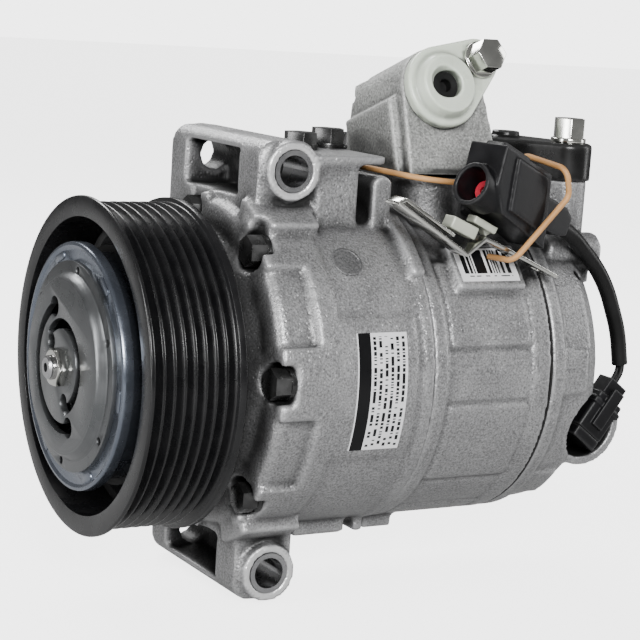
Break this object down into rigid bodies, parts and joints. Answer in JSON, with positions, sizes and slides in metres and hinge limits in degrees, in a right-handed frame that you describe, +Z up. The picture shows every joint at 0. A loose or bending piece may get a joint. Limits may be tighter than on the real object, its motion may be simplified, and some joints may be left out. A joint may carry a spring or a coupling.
{
  "type": "automotive air conditioning compressor",
  "caption": "Swash-plate refrigerant compressor with grooved belt pulley, drive hub, split cast body, mounting lugs, port manifold and control-valve harness.",
  "frame": {"origin": "on the shaft axis, in the plane of the two mounting-lug bore axes, level with neither boss: the casing's bracket reference point", "axes": "+X along the shaft from the pulley to the rear head, +Y along the lug bores away from the label side, +Z up towards the manifold"},
  "size_m": [0.2044, 0.1165, 0.1894],
  "materials": {
    "cast_aluminium": "sand-cast, matt",
    "pulley_black": "satin black",
    "hub_steel": "blue-grey coated steel",
    "plateau_steel": "satin",
    "steel": "ground",
    "zinc": "bright zinc",
    "dark_bolt": "phosphated steel",
    "black_plastic": "moulded",
    "red_plastic": "moulded",
    "cap_plastic": "translucent",
    "clip_plastic": "moulded",
    "rubber": "moulded",
    "band_rubber": "elastic band",
    "sleeve": "corrugated sleeve",
    "label": "printed film, left plain",
    "piston_coat": "coated"
  },
  "bodies": {
    "casing": {"front_housing": "cast_aluminium", "lug_bushes": "steel", "body_bolts": "dark_bolt", "cylinder_block": "cast_aluminium", "o_rings": "rubber", "housing_bolts": "dark_bolt", "reed_plates": "steel", "valve_plate": "steel", "gaskets": "rubber", "rear_head": "cast_aluminium", "shaft_bearings": "steel", "shaft_seal": "rubber", "circlips": "steel", "bearing_inner_race": "steel", "manifold": "cast_aluminium", "port_cap": "cap_plastic", "port_plug": "rubber", "port_bolts": "zinc", "rear_port_cap": "black_plastic", "control_valve": "steel", "valve_coil": "black_plastic", "valve_spring": "steel", "harness_plug": "black_plastic", "harness_sleeve": "sleeve", "harness_wires": "rubber", "harness_connector": "black_plastic", "connector_insert": "red_plastic", "harness_bracket": "zinc", "bracket_clips": "clip_plastic", "elastic_band": "band_rubber", "labels": "label"},
    "rotor": {"bearing_outer_race": "steel", "pulley_rim": "pulley_black", "pulley_damper": "rubber", "hub_ring": "hub_steel", "limiter_plate": "plateau_steel", "hub_boss": "steel", "shaft_nut": "zinc", "shaft": "steel", "lug_plate": "steel", "hinge_pin": "steel", "swash_plate": "steel", "return_spring": "steel"},
    "ball_set": {"bearing_balls": "steel"},
    "front_shoe_set": {"front_shoes": "steel"},
    "plunger": {"valve_plunger": "steel"},
    "rear_shoe_body_1": {"rear_shoe_1": "steel"},
    "piston_body_1": {"piston_1": "piston_coat"},
    "rear_shoe_body_2": {"rear_shoe_2": "steel"},
    "piston_body_2": {"piston_2": "piston_coat"},
    "rear_shoe_body_3": {"rear_shoe_3": "steel"},
    "piston_body_3": {"piston_3": "piston_coat"},
    "rear_shoe_body_4": {"rear_shoe_4": "steel"},
    "piston_body_4": {"piston_4": "piston_coat"},
    "rear_shoe_body_5": {"rear_shoe_5": "steel"},
    "piston_body_5": {"piston_5": "piston_coat"},
    "rear_shoe_body_6": {"rear_shoe_6": "steel"},
    "piston_body_6": {"piston_6": "piston_coat"},
    "rear_shoe_body_7": {"rear_shoe_7": "steel"},
    "piston_body_7": {"piston_7": "piston_coat"}
  },
  "joints": [
    {"name": "shaft_spin", "type": "hinge", "parent": "casing", "child": "rotor", "pos_m": [0, 0, 0], "axis": [1, 0, 0], "continuous": true},
    {"name": "ball_set_spin", "type": "hinge", "parent": "casing", "child": "ball_set", "pos_m": [0, 0, 0], "axis": [1, 0, 0], "continuous": true},
    {"name": "front_shoes_turn", "type": "hinge", "parent": "rotor", "child": "front_shoe_set", "pos_m": [0.022, 0, 0], "axis": [0.9903, 0, -0.1392], "continuous": true},
    {"name": "plunger_slide", "type": "slide", "parent": "casing", "child": "plunger", "axis": [0, 1, 0], "range_m": [0, 0.002], "stiffness_N_per_m": 400, "springref_m": -0.001, "deforming": ["valve_spring"]},
    {"name": "rear_shoe_1_turn", "type": "hinge", "parent": "front_shoe_set", "child": "rear_shoe_body_1", "pos_m": [0.02421, -0.02894, 0.0157], "axis": [0.9903, 0, -0.1392], "continuous": true},
    {"name": "piston_1_level", "type": "hinge", "parent": "rear_shoe_body_1", "child": "piston_body_1", "pos_m": [0.02421, -0.02894, 0.0157], "axis": [1, 0, 0], "continuous": true},
    {"name": "rear_shoe_2_turn", "type": "hinge", "parent": "front_shoe_set", "child": "rear_shoe_body_2", "pos_m": [0.02652, -0.00565, 0.0322], "axis": [0.9903, 0, -0.1392], "continuous": true},
    {"name": "piston_2_level", "type": "hinge", "parent": "rear_shoe_body_2", "child": "piston_body_2", "pos_m": [0.02652, -0.00565, 0.0322], "axis": [1, 0, 0], "continuous": true},
    {"name": "rear_shoe_3_turn", "type": "hinge", "parent": "front_shoe_set", "child": "rear_shoe_body_3", "pos_m": [0.02544, 0.0219, 0.02445], "axis": [0.9903, 0, -0.1392], "continuous": true},
    {"name": "piston_3_level", "type": "hinge", "parent": "rear_shoe_body_3", "child": "piston_body_3", "pos_m": [0.02544, 0.0219, 0.02445], "axis": [1, 0, 0], "continuous": true},
    {"name": "rear_shoe_4_turn", "type": "hinge", "parent": "front_shoe_set", "child": "rear_shoe_body_4", "pos_m": [0.02176, 0.03295, -0.00171], "axis": [0.9903, 0, -0.1392], "continuous": true},
    {"name": "piston_4_level", "type": "hinge", "parent": "rear_shoe_body_4", "child": "piston_body_4", "pos_m": [0.02176, 0.03295, -0.00171], "axis": [1, 0, 0], "continuous": true},
    {"name": "rear_shoe_5_turn", "type": "hinge", "parent": "front_shoe_set", "child": "rear_shoe_body_5", "pos_m": [0.01826, 0.0192, -0.02658], "axis": [0.9903, 0, -0.1392], "continuous": true},
    {"name": "piston_5_level", "type": "hinge", "parent": "rear_shoe_body_5", "child": "piston_body_5", "pos_m": [0.01826, 0.0192, -0.02658], "axis": [1, 0, 0], "continuous": true},
    {"name": "rear_shoe_6_turn", "type": "hinge", "parent": "front_shoe_set", "child": "rear_shoe_body_6", "pos_m": [0.01758, -0.00902, -0.03144], "axis": [0.9903, 0, -0.1392], "continuous": true},
    {"name": "piston_6_level", "type": "hinge", "parent": "rear_shoe_body_6", "child": "piston_body_6", "pos_m": [0.01758, -0.00902, -0.03144], "axis": [1, 0, 0], "continuous": true},
    {"name": "rear_shoe_7_turn", "type": "hinge", "parent": "front_shoe_set", "child": "rear_shoe_body_7", "pos_m": [0.02023, -0.03044, -0.01262], "axis": [0.9903, 0, -0.1392], "continuous": true},
    {"name": "piston_7_level", "type": "hinge", "parent": "rear_shoe_body_7", "child": "piston_body_7", "pos_m": [0.02023, -0.03044, -0.01262], "axis": [1, 0, 0], "continuous": true}
  ],
  "couplings": [
    {"joint": "ball_set_spin", "follows": "shaft_spin", "ratio": 0.5711},
    {"joint": "front_shoes_turn", "follows": "shaft_spin", "ratio": -1},
    {"joint": "rear_shoe_1_turn", "follows": "shaft_spin", "ratio": 1},
    {"joint": "piston_1_level", "follows": "shaft_spin", "ratio": -1},
    {"joint": "rear_shoe_2_turn", "follows": "shaft_spin", "ratio": 1},
    {"joint": "piston_2_level", "follows": "shaft_spin", "ratio": -1},
    {"joint": "rear_shoe_3_turn", "follows": "shaft_spin", "ratio": 1},
    {"joint": "piston_3_level", "follows": "shaft_spin", "ratio": -1},
    {"joint": "rear_shoe_4_turn", "follows": "shaft_spin", "ratio": 1},
    {"joint": "piston_4_level", "follows": "shaft_spin", "ratio": -1},
    {"joint": "rear_shoe_5_turn", "follows": "shaft_spin", "ratio": 1},
    {"joint": "piston_5_level", "follows": "shaft_spin", "ratio": -1},
    {"joint": "rear_shoe_6_turn", "follows": "shaft_spin", "ratio": 1},
    {"joint": "piston_6_level", "follows": "shaft_spin", "ratio": -1},
    {"joint": "rear_shoe_7_turn", "follows": "shaft_spin", "ratio": 1},
    {"joint": "piston_7_level", "follows": "shaft_spin", "ratio": -1}
  ]
}
